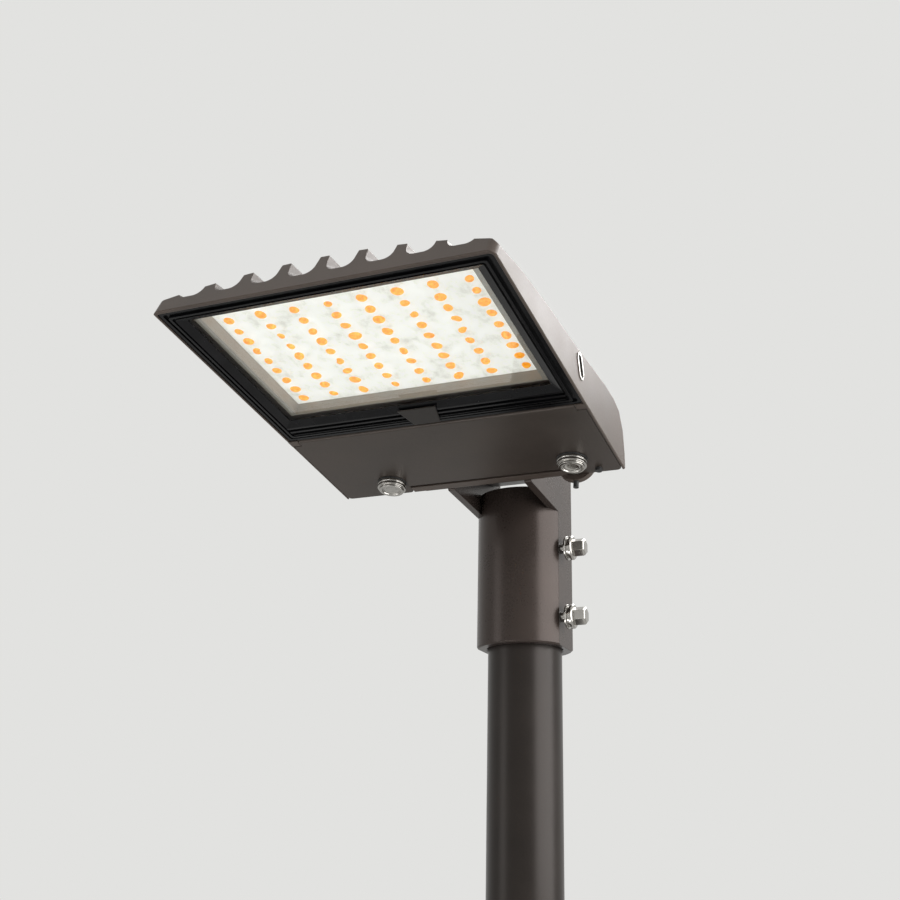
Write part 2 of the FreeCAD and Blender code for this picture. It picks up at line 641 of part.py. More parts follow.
def lens_frame():
    body = slab(frame_half, frame_front_y, frame_rear_y, 0.0, frame_depth - fit_gap, 3.0)
    body = body.cut(box(-window_half, window_half, window_front_y, window_rear_y, -1.0, frame_depth + 1.0))
    # seat for the glass
    seat = window_half + glass_seat
    body = body.cut(box(-seat - fit_gap, seat + fit_gap, window_front_y - glass_seat - fit_gap,
                        window_rear_y + glass_seat + fit_gap, glass_level, frame_depth + 1.0))
    # stepped outer lip and grooves
    body = body.cut(frame_ring(-1.0, frame_lip, -1.0, frame_lip_drop))
    groove = frame_lip
    body = body.cut(frame_ring(groove, groove + groove_wide, -1.0, groove_deep))
    groove += groove_wide + rib_wide
    body = body.cut(frame_ring(groove, groove + groove_wide * 0.6, -1.0, groove_deep * 0.6))
    # bevel round the window
    outer = [(-window_half - bevel_wide, window_front_y - bevel_wide),
             (window_half + bevel_wide, window_front_y - bevel_wide),
             (window_half + bevel_wide, window_rear_y + bevel_wide),
             (-window_half - bevel_wide, window_rear_y + bevel_wide)]
    inner = [(-window_half, window_front_y), (window_half, window_front_y),
             (window_half, window_rear_y), (-window_half, window_rear_y)]
    low = Part.makePolygon([V(x, y, 0.0) for x, y in outer + outer[:1]])
    high = Part.makePolygon([V(x, y, bevel_rise) for x, y in inner + inner[:1]])
    body = body.cut(Part.makeLoft([low, high], True, True))
    # two long grooves across the wide rear band
    first = window_rear_y + bevel_wide + long_groove_gap
    half = window_half + bevel_wide
    for y in (first, first + long_groove_wide + long_groove_gap):
        body = body.cut(box(-half, half, y, y + long_groove_wide, -1.0, groove_deep))
    return tilted(body)


def lens_glass():
    seat = glass_seat
    return tilted(slab(window_half + seat, window_front_y - seat, window_rear_y + seat,
                       glass_level, glass_level + glass_thick, 2.0))


def lens_gasket():
    """Silicone ring between the frame and the casting, round the glass."""
    top, low = frame_depth, frame_depth - fit_gap
    out = window_half + glass_seat + fit_gap + gasket_wide
    grow = glass_seat + fit_gap + gasket_wide
    ring = slab(out, window_front_y - grow, window_rear_y + grow, low, top, 3.0)
    grow = glass_seat + fit_gap
    ring = ring.cut(slab(window_half + grow, window_front_y - grow, window_rear_y + grow, low, top, 2.0))
    return tilted(ring)


def reflector_frame():
    """Mitred lip round the window with walls that rise to the board."""
    level = reflector_level
    out_x, out_f, out_r = chamber_half - fit_gap, chamber_front_y + fit_gap, chamber_rear_y - fit_gap
    lip = box(-out_x, out_x, out_f, out_r, level, level + reflector_sheet)
    in_x, in_f, in_r = window_half - lip_wide, window_front_y + lip_front_wide, window_rear_y - lip_rear_wide
    lip = lip.cut(box(-in_x, in_x, in_f, in_r, level - 1.0, level + 2.0))
    top = board_level - sheet_thick

    def funnel(grow):
        low = [(-in_x - grow, in_f - grow), (in_x + grow, in_f - grow),
               (in_x + grow, in_r + grow), (-in_x - grow, in_r + grow)]
        s = wall_slope
        high = [(-in_x - grow + s, in_f - grow + s), (in_x + grow - s, in_f - grow + s),
                (in_x + grow - s, in_r + grow - s), (-in_x - grow + s, in_r + grow - s)]
        return Part.makeLoft([Part.makePolygon([V(x, y, level) for x, y in low + low[:1]]),
                              Part.makePolygon([V(x, y, top) for x, y in high + high[:1]])], True, True)
    return tilted(lip.fuse(funnel(reflector_sheet).cut(funnel(0.0))).removeSplitter())


def led_places():
    return [((c - (led_columns - 1) / 2) * led_pitch_x, led_centre_y + (r - (led_rows - 1) / 2) * led_pitch_y)
            for c in range(led_columns) for r in range(led_rows)]


def reflector_sheet_plate():
    """White sheet over the board with a hole for each light."""
    room = chamber_half - 2 * fit_gap
    y0, y1 = chamber_front_y + 2 * fit_gap, chamber_rear_y - 2 * fit_gap
    z = board_level - sheet_thick
    corners = [(-room, y0), (room, y0), (room, y1), (-room, y1), (-room, y0)]
    outline = Part.makePolygon([V(x, y, z) for x, y in corners])
    holes = [Part.Wire(Part.makeCircle(led_hole_r, V(x, y, z))) for x, y in led_places()]
    return tilted(Part.Face([outline] + holes, "Part::FaceMakerBullseye").extrude(Z_AXIS * sheet_thick))


def led_board():
    room = chamber_half - 2 * fit_gap
    y0, y1 = chamber_front_y + 2 * fit_gap, chamber_rear_y - 2 * fit_gap
    plate = box(-room, room, y0, y1, board_level, board_back)
    for x, y in board_screw_places():
        plate = plate.cut(rod(small_screw_r + thread_gap, 5.0, V(x, y, board_level - 1.0)))
        plate = plate.cut(rod(small_head_r + 0.1, small_head * 0.5 + 0.1, V(x, y, board_level)))
    return tilted(plate)


def thermal_pad():
    room = chamber_half - 2 * fit_gap
    y0, y1 = chamber_front_y + 2 * fit_gap, chamber_rear_y - 2 * fit_gap
    pad = box(-room, room, y0, y1, board_back, chamber_top)
    for x, y in board_screw_places():
        pad = pad.cut(rod(small_screw_r + 0.3, 2.0, V(x, y, board_back - 1.0)))
    return tilted(pad)


def leds():
    """Each light is a low dome on a small round foot."""
    shapes = []
    for x, y in led_places():
        r_ball = (led_r ** 2 + led_drop ** 2) / (2 * led_drop)
        ball = Part.makeSphere(r_ball, V(x, y, board_level - led_drop + r_ball))
        shapes.append(tilted(ball.common(rod(led_r, led_drop, V(x, y, board_level - led_drop)))))
    return group(shapes)


def board_screw_places():
    return [(x, led_centre_y + dy) for x in (-led_pitch_x * 3, 0.0, led_pitch_x * 3)
            for dy in (-led_pitch_y * 4, led_pitch_y * 4)]


def board_screws():
    screws = []
    for x, y in board_screw_places():
        shank = rod(small_screw_r, board_thick + pad_thick + 2.4, V(x, y, board_level))
        head = rod(small_head_r, small_head * 0.5, V(x, y, board_level))
        screws.append(tilted(shank.fuse(head).removeSplitter()))
    return group(screws)


def frame_clip():
    """Flat tongue across the frame's wide rear band."""
    points = [(-clip_front_half, clip_front_y), (clip_front_half, clip_front_y),
              (clip_rear_half, clip_rear_y), (-clip_rear_half, clip_rear_y)]
    return tilted(prism([(x, y, -clip_thick) for x, y in points], clip_thick, Z_AXIS))


# ---------------------------------------------------------------- driver door
def door_outline_block(z0, z1):
    main = box(-door_half, door_half, door_front_y, slot_front_y, z0, z1)
    left = box(-door_half, tab_left_x, slot_front_y - 1.0, rear_y, z0, z1)
    right = box(tab_right_x, door_half, slot_front_y - 1.0, rear_y, z0, z1)
    block = main.fuse(left).fuse(right).removeSplitter()
    corners = [e for e in block.Edges if abs(e.BoundBox.ZLength - (z1 - z0)) < 1e-6
               and e.BoundBox.XLength < 1e-6 and e.BoundBox.YMin > rear_y - 1e-3]
    return block.makeFillet(4.0, corners)


def driver_door():
    body = door_outline_block(0.0, door_thick)
    # rounded hinge edge between the corner lugs
    notch_x = door_half - lug_wide - door_gap
    barrel = rod(hinge_barrel_r, 2 * notch_x, V(-notch_x, hinge_y, hinge_z), X_AXIS)
    for side in (-1, 1):
        x0 = notch_x if side > 0 else -door_half - 1.0
        body = body.cut(box(x0, x0 + door_half + 1.0 - notch_x, door_front_y - 1.0,
                            hinge_lug_rear_y + hinge_swing, -1.0, door_thick + 1.0))
    body = body.cut(box(-notch_x - 1.0, notch_x + 1.0, door_front_y - 2.0, hinge_y, -1.0, door_thick + 1.0))
    body = body.fuse(barrel).removeSplitter()
    for x, y in thumb_places:
        body = body.cut(rod(thumb_shank_r + thread_gap, 10.0, V(x, y, -1.0)))
    for side in (-1, 1):
        body = body.cut(rod(hinge_pin_r, hinge_pin_length, hinge_pin_start(side), X_AXIS * side))
    return tilted(body)


def hinge_pin_start(side):
    return V(side * (door_half - hinge_pin_length - 1.5), hinge_y, hinge_z)


def door_hinge_pins():
    return group([tilted(rod(hinge_pin_r, hinge_pin_length, hinge_pin_start(side), X_AXIS * side))
                  for side in (-1, 1)])


def door_gasket_ring():
    z0, z1 = door_thick, ledge
    y0, y1 = hinge_lug_rear_y + hinge_swing, slot_front_y - 2 * door_gap
    out = bay_half_width + door_gasket_wide
    ring = box(-out, out, y0, y1, z0, z1)
    ring = ring.cut(box(-bay_half_width, bay_half_width, bay_front_y, y1 - door_gasket_wide, z0, z1))
    return tilted(ring)


def thumb_screw(x, y):
    """Captive turn screw: grooved rim, stepped end with a coin slot, shank into the housing."""
    top = -thumb_washer_thick
    body = rod(thumb_r, thumb_thick, V(x, y, top - thumb_thick))
    groove_z = top - thumb_thick / 2 - rim_groove / 2
    body = body.cut(tube(thumb_r + 1.0, thumb_r - rim_groove_deep, rim_groove, V(x, y, groove_z)))
    body = body.fuse(rod(thumb_end_r, thumb_end_thick, V(x, y, top - thumb_thick - thumb_end_thick)))
    face = top - thumb_thick - thumb_end_thick
    body = body.cut(rod(thumb_dish_r, thumb_dish_deep, V(x, y, face)))
    body = body.cut(box(x - thumb_dish_r, x + thumb_dish_r, y - coin_slot_wide / 2, y + coin_slot_wide / 2,
                        face, face + thumb_dish_deep + coin_slot_deep))
    body = body.fuse(rod(thumb_shank_r, thumb_shank_length - top, V(x, y, top)))
    return tilted(body.removeSplitter())


def thumb_washers():
    return group([tilted(tube(thumb_washer_r, thumb_shank_r + thread_gap, thumb_washer_thick,
                              V(x, y, -thumb_washer_thick))) for x, y in thumb_places])


# ---------------------------------------------------------------- electrical pieces
def hanging_places():
    """Bosses under the ceiling: x, y and the height of their lower face."""
    dy = (driver_y[0] + driver_y[1]) / 2
    places = [(x, dy, driver_z[1]) for x in (driver_x[0] + driver_flange / 2, driver_x[1] - driver_flange / 2)]
    sy = (surge_y[0] + surge_y[1]) / 2
    places.append(((surge_x[0] + surge_x[1]) / 2, sy, surge_z[1]))
    places.append(((block_x[0] + block_x[1]) / 2, (block_y[0] + block_y[1]) / 2, block_z[1]))
    return places


def led_driver():
    x0, x1 = driver_x
    case = slab((x1 - x0) / 2 - driver_flange, *driver_y, *driver_z, 3.0)
    case.translate(V((x0 + x1) / 2, 0, 0))
    flange = box(x0, x1, driver_y[0] + 8.0, driver_y[1] - 8.0, driver_z[1] - driver_flange_thick, driver_z[1])
    body = case.fuse(flange).removeSplitter()
    for x, y, top in hanging_places()[:2]:
        body = body.cut(rod(small_screw_r + 0.2, 4.0, V(x, y, top - 3.0)))
    return tilted(body)


def driver_screws():
    screws = []
    for x, y, top in hanging_places()[:2]:
        low = top - driver_flange_thick
        head = rod(small_head_r, small_head, V(x, y, low - small_head))
        shank = rod(small_screw_r, driver_flange_thick + small_screw_grip, V(x, y, low))
        screws.append(tilted(head.fuse(shank).removeSplitter()))
    return group(screws)


def surge_protector():
    x, y, top = hanging_places()[2]
    body = slab((surge_x[1] - surge_x[0]) / 2, *surge_y, *surge_z, 4.0)
    body.translate(V(x, 0, 0))
    body = body.fuse(rod(small_screw_r, small_screw_grip, V(x, y, top)))
    return tilted(body)


def terminal_block():
    x, y, top = hanging_places()[3]
    body = box(*block_x, *block_y, *block_z).fuse(rod(small_screw_r, small_screw_grip, V(x, y, top)))
    pitch = (block_x[1] - block_x[0]) / 3
    for k in range(3):
        cx = block_x[0] + pitch * (k + 0.5)
        body = body.cut(rod(2.0, 6.0, V(cx, block_y[0] + 5.0, block_z[0])))
        body = body.cut(rod(1.8, 8.0, V(cx, block_y[1] - 8.0, (block_z[0] + block_z[1]) / 2), Y_AXIS))
    return tilted(body)


def led_lead():
    """Two-core lead from the driver through the bulkhead to the board's edge."""
    start = chamber_rear_y - 2 * fit_gap
    return tilted(rod(lead_r, driver_y[0] - start, V(lead_x, start, lead_z), Y_AXIS))


# ---------------------------------------------------------------- small outside pieces
def side_eyelet():
    ring = eyelet_outline(0.0, half_width - eyelet_deep, half_width + eyelet_proud)
    ring = ring.fuse(eyelet_outline(eyelet_lip, half_width, half_width + eyelet_proud))
    return tilted(ring.cut(eyelet_outline(-eyelet_wall, half_width - eyelet_deep - 1.0, half_width + 5.0)))


def side_eyelet_plug():
    return tilted(eyelet_outline(-eyelet_wall - thread_gap, half_width - eyelet_deep, half_width - 2.5))


def stud_y():
    return rear_y + fit_gap + lug_thick / 2


def lanyard_stud():
    body = rod(stud_r, stud_drop - lug_drop, V(lug_x, stud_y(), -stud_drop))
    body = body.fuse(rod(stud_neck_r, stud_grip, V(lug_x, stud_y(), -lug_drop)))
    return tilted(body.removeSplitter())


def breather_vent():
    return tilted(rod(vent_r, vent_drop, V(vent_x, vent_y, -vent_drop)))


parts = {
    "pole_section": pole_section(),
    "slip_fitter": slip_fitter(),
    "set_bolt_lower": set_bolt(bolt_heights[0]),
    "set_bolt_upper": set_bolt(bolt_heights[1]),
    "set_bolt_washers": set_bolt_washers(),
    "set_bolt_spring_washers": set_bolt_spring_washers(),
    "tilt_pivot_bolt": tilt_pivot_bolt(),
    "tilt_pivot_nut": tilt_pivot_nut(),
    "tilt_pivot_washers": tilt_pivot_washers(),
    "pole_cap_bushing": pole_cap_bushing(),
    "tilt_arm": tilt_arm(),
    "arm_bolts": arm_bolts(),
    "arm_bolt_washers": arm_bolt_washers(),
    "arm_gasket": arm_gasket(),
    "friction_washers": friction_washers(),
    "housing": housing(),
    "lens_frame": lens_frame(),
    "lens_glass": lens_glass(),
    "lens_gasket": lens_gasket(),
    "reflector_frame": reflector_frame(),
    "reflector_sheet": reflector_sheet_plate(),
    "led_board": led_board(),
    "thermal_pad": thermal_pad(),
    "leds": leds(),
    "board_screws": board_screws(),
    "frame_clip": frame_clip(),
    "driver_door": driver_door(),
    "door_hinge_pins": door_hinge_pins(),
    "door_gasket": door_gasket_ring(),
    "thumb_screw_left": thumb_screw(*thumb_places[0]),
    "thumb_screw_right": thumb_screw(*thumb_places[1]),
    "thumb_washers": thumb_washers(),
    "led_driver": led_driver(),
    "driver_screws": driver_screws(),
    "surge_protector": surge_protector(),
    "terminal_block": terminal_block(),
    "led_lead": led_lead(),
    "side_eyelet": side_eyelet(),
    "side_eyelet_plug": side_eyelet_plug(),
    "lanyard_stud": lanyard_stud(),
    "breather_vent": breather_vent(),
}

os.makedirs("parts", exist_ok=True)
for name, shape in parts.items():
    shape.exportStep(f"parts/{name}.step")
    solids = shape.Solids
    sound = all(s.isValid() for s in solids)
    print(f"{name}: {len(solids)} solid(s), {sum(s.Volume for s in solids) / 1000:.1f} cm3, sound {sound}")
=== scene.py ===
# %% [markdown]
# # A shoebox area light, dressed for its portrait
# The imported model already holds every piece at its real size: the pole, the clamp that grips
# it, the finned head, the window, the door. Loading it first gives a fixed frame, and the rest
# of this lesson only adds finishes, and finer meshes where a turned or moulded piece deserves
# one. Everything is in metres, with Z up and the lamp head reaching forward along -Y.

# %% Load the fixed frame
import json
import math
import random

import bmesh
import bpy
from mathutils import Matrix, Vector


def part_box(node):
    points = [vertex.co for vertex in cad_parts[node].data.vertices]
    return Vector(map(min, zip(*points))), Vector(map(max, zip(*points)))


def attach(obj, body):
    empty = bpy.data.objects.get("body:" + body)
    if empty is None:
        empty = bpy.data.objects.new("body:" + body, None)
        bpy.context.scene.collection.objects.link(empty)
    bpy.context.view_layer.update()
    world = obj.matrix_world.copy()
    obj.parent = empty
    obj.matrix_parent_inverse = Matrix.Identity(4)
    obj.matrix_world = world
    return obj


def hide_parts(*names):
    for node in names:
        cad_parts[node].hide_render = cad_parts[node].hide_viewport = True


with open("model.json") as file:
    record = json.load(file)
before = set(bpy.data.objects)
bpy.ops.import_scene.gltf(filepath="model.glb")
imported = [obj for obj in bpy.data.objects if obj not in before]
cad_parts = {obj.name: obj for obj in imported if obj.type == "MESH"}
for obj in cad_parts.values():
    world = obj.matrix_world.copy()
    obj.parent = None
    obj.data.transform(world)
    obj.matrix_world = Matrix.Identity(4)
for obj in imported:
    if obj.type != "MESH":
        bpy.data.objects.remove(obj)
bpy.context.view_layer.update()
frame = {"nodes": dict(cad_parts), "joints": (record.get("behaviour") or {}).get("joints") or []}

node = frame["nodes"]
joint = {j["name"]: j for j in frame["joints"]}
MM = 0.001

# %% [markdown]
# ## The head's own axes
# The head is tilted nose up on its pivot. Fine work on it is easier in its own level axes, so
# this step reads the tilt from the thumb screws' axis, which stands square to the underside,
# and makes a matrix that carries level head coordinates to where the head is.

# %% Level head frame
head_up = Vector(joint["thumb_turn_left"]["axis"]).normalized()
tilt = math.atan2(head_up.y, head_up.z)
screw_point = Vector(joint["thumb_turn_left"]["pos_m"])
plane_height = screw_point.z + screw_point.y * math.tan(tilt)
head_place = Matrix.Translation((0, 0, plane_height)) @ Matrix.Rotation(-tilt, 4, "X")
print("head tilt:", round(math.degrees(tilt), 2), "degrees, plane height:", round(plane_height, 4))


def head_box(name):
    """Lowest and highest corner of a CAD node in the level head frame."""
    level = head_place.inverted()
    points = [level @ v.co for v in node[name].data.vertices]
    low = Vector([min(p[k] for p in points) for k in range(3)])
    high = Vector([max(p[k] for p in points) for k in range(3)])
    return low, high


# %% [markdown]
# ## The camera
# The photograph looks up at the head from below and in front. Its focal length and place came
# from lining up the pole and the corners of the head, so the camera is set here from given
# numbers: a place, two turns and a small roll.

# %% Camera
CAMERA_PLACE = Vector((0.3364, -0.9413, 0.0293))
CAMERA_YAW, CAMERA_PITCH, CAMERA_ROLL = map(math.radians, (23.38, 19.48, 1.24))
CAMERA_LENS = 49.05


def aim_axes(yaw, pitch, roll):
    """Right, up and forward of a camera that is turned, raised and rolled."""
    right = Vector((math.cos(yaw), math.sin(yaw), 0))
    ahead = Vector((-math.sin(yaw) * math.cos(pitch), math.cos(yaw) * math.cos(pitch), math.sin(pitch)))
    up = right.cross(ahead)
    return (math.cos(roll) * right + math.sin(roll) * up,
            math.cos(roll) * up - math.sin(roll) * right, ahead)


right, up, ahead = aim_axes(CAMERA_YAW, CAMERA_PITCH, CAMERA_ROLL)
camera_data = bpy.data.cameras.new("camera")
camera_data.lens = CAMERA_LENS
camera_data.clip_start = 0.01
camera = bpy.data.objects.new("camera", camera_data)
turn = Matrix((right, up, -ahead)).transposed().to_4x4()
camera.matrix_world = Matrix.Translation(CAMERA_PLACE) @ turn
bpy.context.scene.collection.objects.link(camera)
bpy.context.scene.camera = camera
bpy.context.scene.view_settings.view_transform = "Standard"
print("camera at", [round(c, 3) for c in CAMERA_PLACE])

# %% [markdown]
# ## Shader maths that reads like maths
# A procedural finish is mostly arithmetic on noise. Wrapping a socket in a small class lets
# `1 - mask * 0.3` add its own Math nodes, and a Finish holds one material with a single method
# that makes every other node: its type, its settings first, then its sockets.


# %% Sockets as numbers
class Number:
    """One shader output that holds a number."""

    def __init__(self, finish, socket):
        self.finish, self.socket = finish, socket

    def _math(self, operation, a, b, clamp=False):
        return self.finish.node("ShaderNodeMath", {"operation": operation, "use_clamp": clamp}, {0: a, 1: b})

    def __add__(self, other):
        return self._math("ADD", self, other)

    def __sub__(self, other):
        return self._math("SUBTRACT", self, other)

    def __rsub__(self, other):
        return self._math("SUBTRACT", other, self)

    def __mul__(self, other):
        return self._math("MULTIPLY", self, other)

    __radd__ = __add__
    __rmul__ = __mul__

    def clamped(self):
        return self._math("ADD", self, 0.0, True)


class Finish:
    """One material, and the nodes that make it."""

    def __init__(self, name, **constants):
        self.material = bpy.data.materials.new(name)
        self.material.use_nodes = True
        self.tree = self.material.node_tree
        self.surface = self.tree.nodes["Principled BSDF"]
        for socket, value in constants.items():
            self.surface.inputs[socket.replace("_", " ")].default_value = value

    def node(self, kind, settings=None, sockets=None, out=0):
        made = self.tree.nodes.new(kind)
        for key, value in (settings or {}).items():
            if key == "stops":
                self._stops(made.color_ramp, value)
            else:
                setattr(made, key, value)
        for key, value in (sockets or {}).items():
            self.plug(made.inputs[key], value)
        return Number(self, made.outputs[out])

    def _stops(self, ramp, stops):
        while len(ramp.elements) < len(stops):
            ramp.elements.new(0.5)
        for element, (place, colour) in zip(ramp.elements, stops):
            element.position = place
            element.color = (*colour, 1)

    def plug(self, socket, value):
        if isinstance(value, Number):
            self.tree.links.new(value.socket, socket)
        else:
            socket.default_value = value

    def set(self, **sockets):
        for key, value in sockets.items():
            self.plug(self.surface.inputs[key.replace("_", " ")], value)
        return self

    def place(self):
        return self.node("ShaderNodeTexCoord", out="Object")

    def noise(self, size, detail=2.0, rough=0.5, stretch=(1, 1, 1)):
        """Noise whose features are about size metres across."""
        spot = self.node("ShaderNodeMapping", {}, {"Vector": self.place(), "Scale": stretch})
        return self.node("ShaderNodeTexNoise", {}, {"Vector": spot, "Scale": 1 / size, "Detail": detail,
                                                    "Roughness": rough})

    def shades(self, mask, *stops):
        """Colour ramp over a mask: (place, colour), ..."""
        return self.node("ShaderNodeValToRGB", {"stops": stops}, {"Fac": mask})

    def mix(self, amount, a, b):
        """Colour b over colour a."""
        return self.node("ShaderNodeMix", {"data_type": "RGBA"}, {0: amount, 6: a, 7: b}, out=2)

    def soft_edges(self, radius):
        """Normal that rounds every sharp edge over by a radius."""
        return self.node("ShaderNodeBevel", {"samples": 6}, {"Radius": radius})

    def relief(self, height, depth, normal=None):
        sockets = {"Height": height, "Distance": depth}
        if normal:
            sockets["Normal"] = normal
        self.plug(self.surface.inputs["Normal"], self.node("ShaderNodeBump", {}, sockets))


def rgb(r, g, b):
    """Colour from the values that a picture shows, 0 to 255, to the light that it stands for."""
    def light(c):
        c = c / 255
        return c / 12.92 if c <= 0.04045 else ((c + 0.055) / 1.055) ** 2.4
    return (light(r), light(g), light(b), 1.0)


print("sockets add, subtract and multiply now")

# %% [markdown]
# ## Powder coat
# The head, door, clamp and arm are castings under dark bronze powder coat: a satin skin with a
# fine orange-peel texture, barely metallic, with fine paler specks over it. One function makes
# the family; the door and clamp take darker copies, painted shade for the door's downward face
# and the clamp under the head.


# %% Powder coat finishes
def powder_coat(name, colour, roughness=0.38, peel=0.000007, edge=0.0008):
    coat = Finish(name, Metallic=0.3, Specular_IOR_Level=0.22)
    cloud = coat.noise(0.045, detail=3.0)
    grain = coat.noise(0.0016, detail=2.0, rough=0.6)
    speck = coat.noise(0.0005, detail=1.0)
    dark = [c * 0.86 for c in colour[:3]]
    pale = [min(1.0, c * 1.14) for c in colour[:3]]
    tone = coat.shades(cloud, (0.3, dark), (0.7, pale))
    dusty = [min(1.0, c * 1.5 + 0.01) for c in colour[:3]]
    coat.set(Base_Color=coat.mix((speck * 0.5 - 0.18).clamped(), tone, (*dusty, 1)),
             Roughness=roughness + (cloud - 0.5) * 0.16 + (grain - 0.5) * 0.10)
    coat.relief(grain * 0.7 + speck * 0.3, peel, coat.soft_edges(edge))
    return coat.material


bronze = powder_coat("bronze_powder_coat", rgb(77, 68, 62))
# Darker copy of the bronze coat for the door: painted shade for its underside, which faces down.
bronze_door_painted_shade = powder_coat("bronze_door_coat_painted_shade", rgb(63, 56, 51), roughness=0.36)
# Darker copy of the bronze coat for the clamp: painted shade for it sitting in shadow under the head.
bronze_fitter_painted_shade = powder_coat("bronze_fitter_coat_painted_shade", rgb(58, 50, 46), roughness=0.28)
black_pole = powder_coat("black_pole_coat", rgb(42, 37, 34), roughness=0.33)
clip_coat = powder_coat("clip_coat", rgb(40, 36, 33), roughness=0.42)
print("powder coats made")

# %% [markdown]
# ## Bright steel
# Polished screws are nearly mirrors, so their look comes from what they reflect. What makes
# them real is a roughness that wanders and a few hairline scratches.


# %% Steel finishes
def steel(name, colour, roughness, scratch):
    metal = Finish(name, Metallic=1.0)
    wander = metal.noise(0.004, detail=3.0)
    hair = metal.noise(0.0009, detail=2.0, stretch=(1, 9, 1))
    dark = [c * 0.88 for c in colour[:3]]
    metal.set(Base_Color=metal.shades(wander, (0.35, dark), (0.65, colour[:3])),
              Roughness=(roughness + (wander - 0.5) * 0.10 + (hair - 0.5) * 0.06).clamped())
    metal.relief(hair, scratch, metal.soft_edges(0.00025))
    return metal.material


polished = steel("polished_steel", rgb(176, 173, 168), 0.16, 0.000003)
plain_steel = steel("plain_steel", rgb(168, 166, 161), 0.3, 0.00001)
print("steel made")

# %% [markdown]
# ## Gloss black moulding, glass, rubber
# The window's frame is a glossy black moulding, whose ribs show only as thin lines of light.
# The glass in front of the reflector is clear: a see-through surface that mirrors a little
# more as the view grazes it, which Fresnel gives for free.


# %% Moulding, glass and rubber finishes
def moulding(name, colour, roughness, grain_size=0.0012, depth=0.000006, specular=0.5):
    skin = Finish(name, Specular_IOR_Level=specular)
    cloud = skin.noise(0.02, detail=2.0)
    grain = skin.noise(grain_size, detail=2.0)
    pale = [min(1.0, c * 1.5 + 0.002) for c in colour[:3]]
    skin.set(Base_Color=skin.shades(cloud, (0.3, colour[:3]), (0.7, pale)),
             Roughness=roughness + (cloud - 0.5) * 0.10)
    skin.relief(grain, depth, skin.soft_edges(0.0003))
    return skin.material


def clear_glass(name):
    pane = Finish(name, Metallic=1.0)
    film = pane.noise(0.05, detail=3.0)
    pane.set(Base_Color=pane.shades(film, (0.3, (0.86, 0.87, 0.87)), (0.7, (0.95, 0.96, 0.96))),
             Roughness=0.02 + (film * film) * 0.05)
    through = pane.node("ShaderNodeBsdfTransparent", {}, {"Color": (0.97, 0.98, 0.975, 1)})
    shine = pane.node("ShaderNodeFresnel", {}, {"IOR": 1.45})
    out = pane.tree.nodes["Material Output"]
    glass = pane.node("ShaderNodeMixShader", {}, {0: (shine * 0.18 + film * 0.002).clamped(), 1: through})
    pane.tree.links.new(pane.surface.outputs[0], glass.socket.node.inputs[2])
    pane.tree.links.new(glass.socket, out.inputs["Surface"])
    return pane.material


gloss_black = moulding("gloss_black_moulding", (0.003, 0.003, 0.0035), 0.2, specular=0.14)
matt_black = moulding("matt_black_nylon", (0.016, 0.016, 0.016), 0.55, depth=0.00002)
rubber = moulding("black_rubber", (0.02, 0.02, 0.021), 0.72, grain_size=0.0006, depth=0.00003)
grey_pad = moulding("grey_thermal_pad", (0.22, 0.23, 0.25), 0.8, grain_size=0.0005, depth=0.00004)
red_jacket = moulding("red_lead_jacket", (0.35, 0.02, 0.015), 0.4)
window = clear_glass("window_glass")
print("black moulding, glass and rubber made")

# %% [markdown]
# ## Reflector, white film and emitters
# Behind the glass a warm grey reflector frame leads the eye to a white film, soft and cloudy
# from its swells and its cloudy tone, and to rows of orange-yellow emitters. Both glow a
# little, which is painted light: it holds their brightness in the shaded recess.


# %% Light engine finishes
def satin_sheet(name, colour, roughness, metallic):
    sheet = Finish(name, Metallic=metallic)
    cloud = sheet.noise(0.03, detail=3.0)
    brushed = sheet.noise(0.002, detail=2.0, stretch=(0.1, 1, 1))
    pale = [min(1.0, c * 1.2) for c in colour[:3]]
    sheet.set(Base_Color=sheet.shades(cloud, (0.3, colour[:3]), (0.7, pale)),
              Roughness=roughness + (brushed - 0.5) * 0.12)
    sheet.relief(brushed, 0.000008, sheet.soft_edges(0.0002))
    return sheet.material


def white_film(name):
    # The film glows, though it is no lamp: painted light that keeps it bright in the shaded recess, with its
    # cloudy tone as the glow's colour.
    film = Finish(name, Roughness=0.6, Specular_IOR_Level=0.15, Emission_Strength=0.5)
    cloud = film.noise(0.011, detail=4.0, rough=0.6)
    wisp = film.noise(0.0035, detail=3.0, stretch=(1, 0.6, 1))
    tone = film.shades(cloud * 0.7 + wisp * 0.3,
                       (0.32, rgb(208, 206, 198)[:3]), (0.5, rgb(234, 233, 228)[:3]),
                       (0.68, rgb(246, 245, 242)[:3]))
    film.set(Base_Color=tone, Emission_Color=tone)
    film.relief(cloud * 0.6 + wisp * 0.4, 0.0004)
    return film.material


def emitter(name):
    # The domes glow a little: painted light that keeps them bright in the shaded recess.
    dome = Finish(name, Roughness=0.5, Specular_IOR_Level=0.12, Emission_Strength=0.7)
    grain = dome.noise(0.0022, detail=3.0, rough=0.6)
    tone = dome.shades(grain, (0.3, rgb(226, 128, 12)[:3]), (0.5, rgb(246, 160, 28)[:3]),
                       (0.72, rgb(252, 186, 66)[:3]))
    dome.set(Base_Color=tone, Emission_Color=tone)
    dome.relief(grain, 0.0002)
    return dome.material


reflector_grey = satin_sheet("reflector_warm_grey", rgb(148, 142, 133), 0.42, 0.1)
board_white = satin_sheet("board_solder_mask", rgb(215, 216, 212), 0.5, 0.0)
bare_aluminium = satin_sheet("bare_aluminium", rgb(200, 201, 202), 0.35, 0.9)
film_white_painted_glow = white_film("white_reflector_film_painted_glow")
phosphor = emitter("orange_phosphor_painted_glow")
print("light engine finishes made")

# %% [markdown]
# ## Finishes go on the frame
# A CAD piece whose shape is right keeps its mesh and only takes a finish.

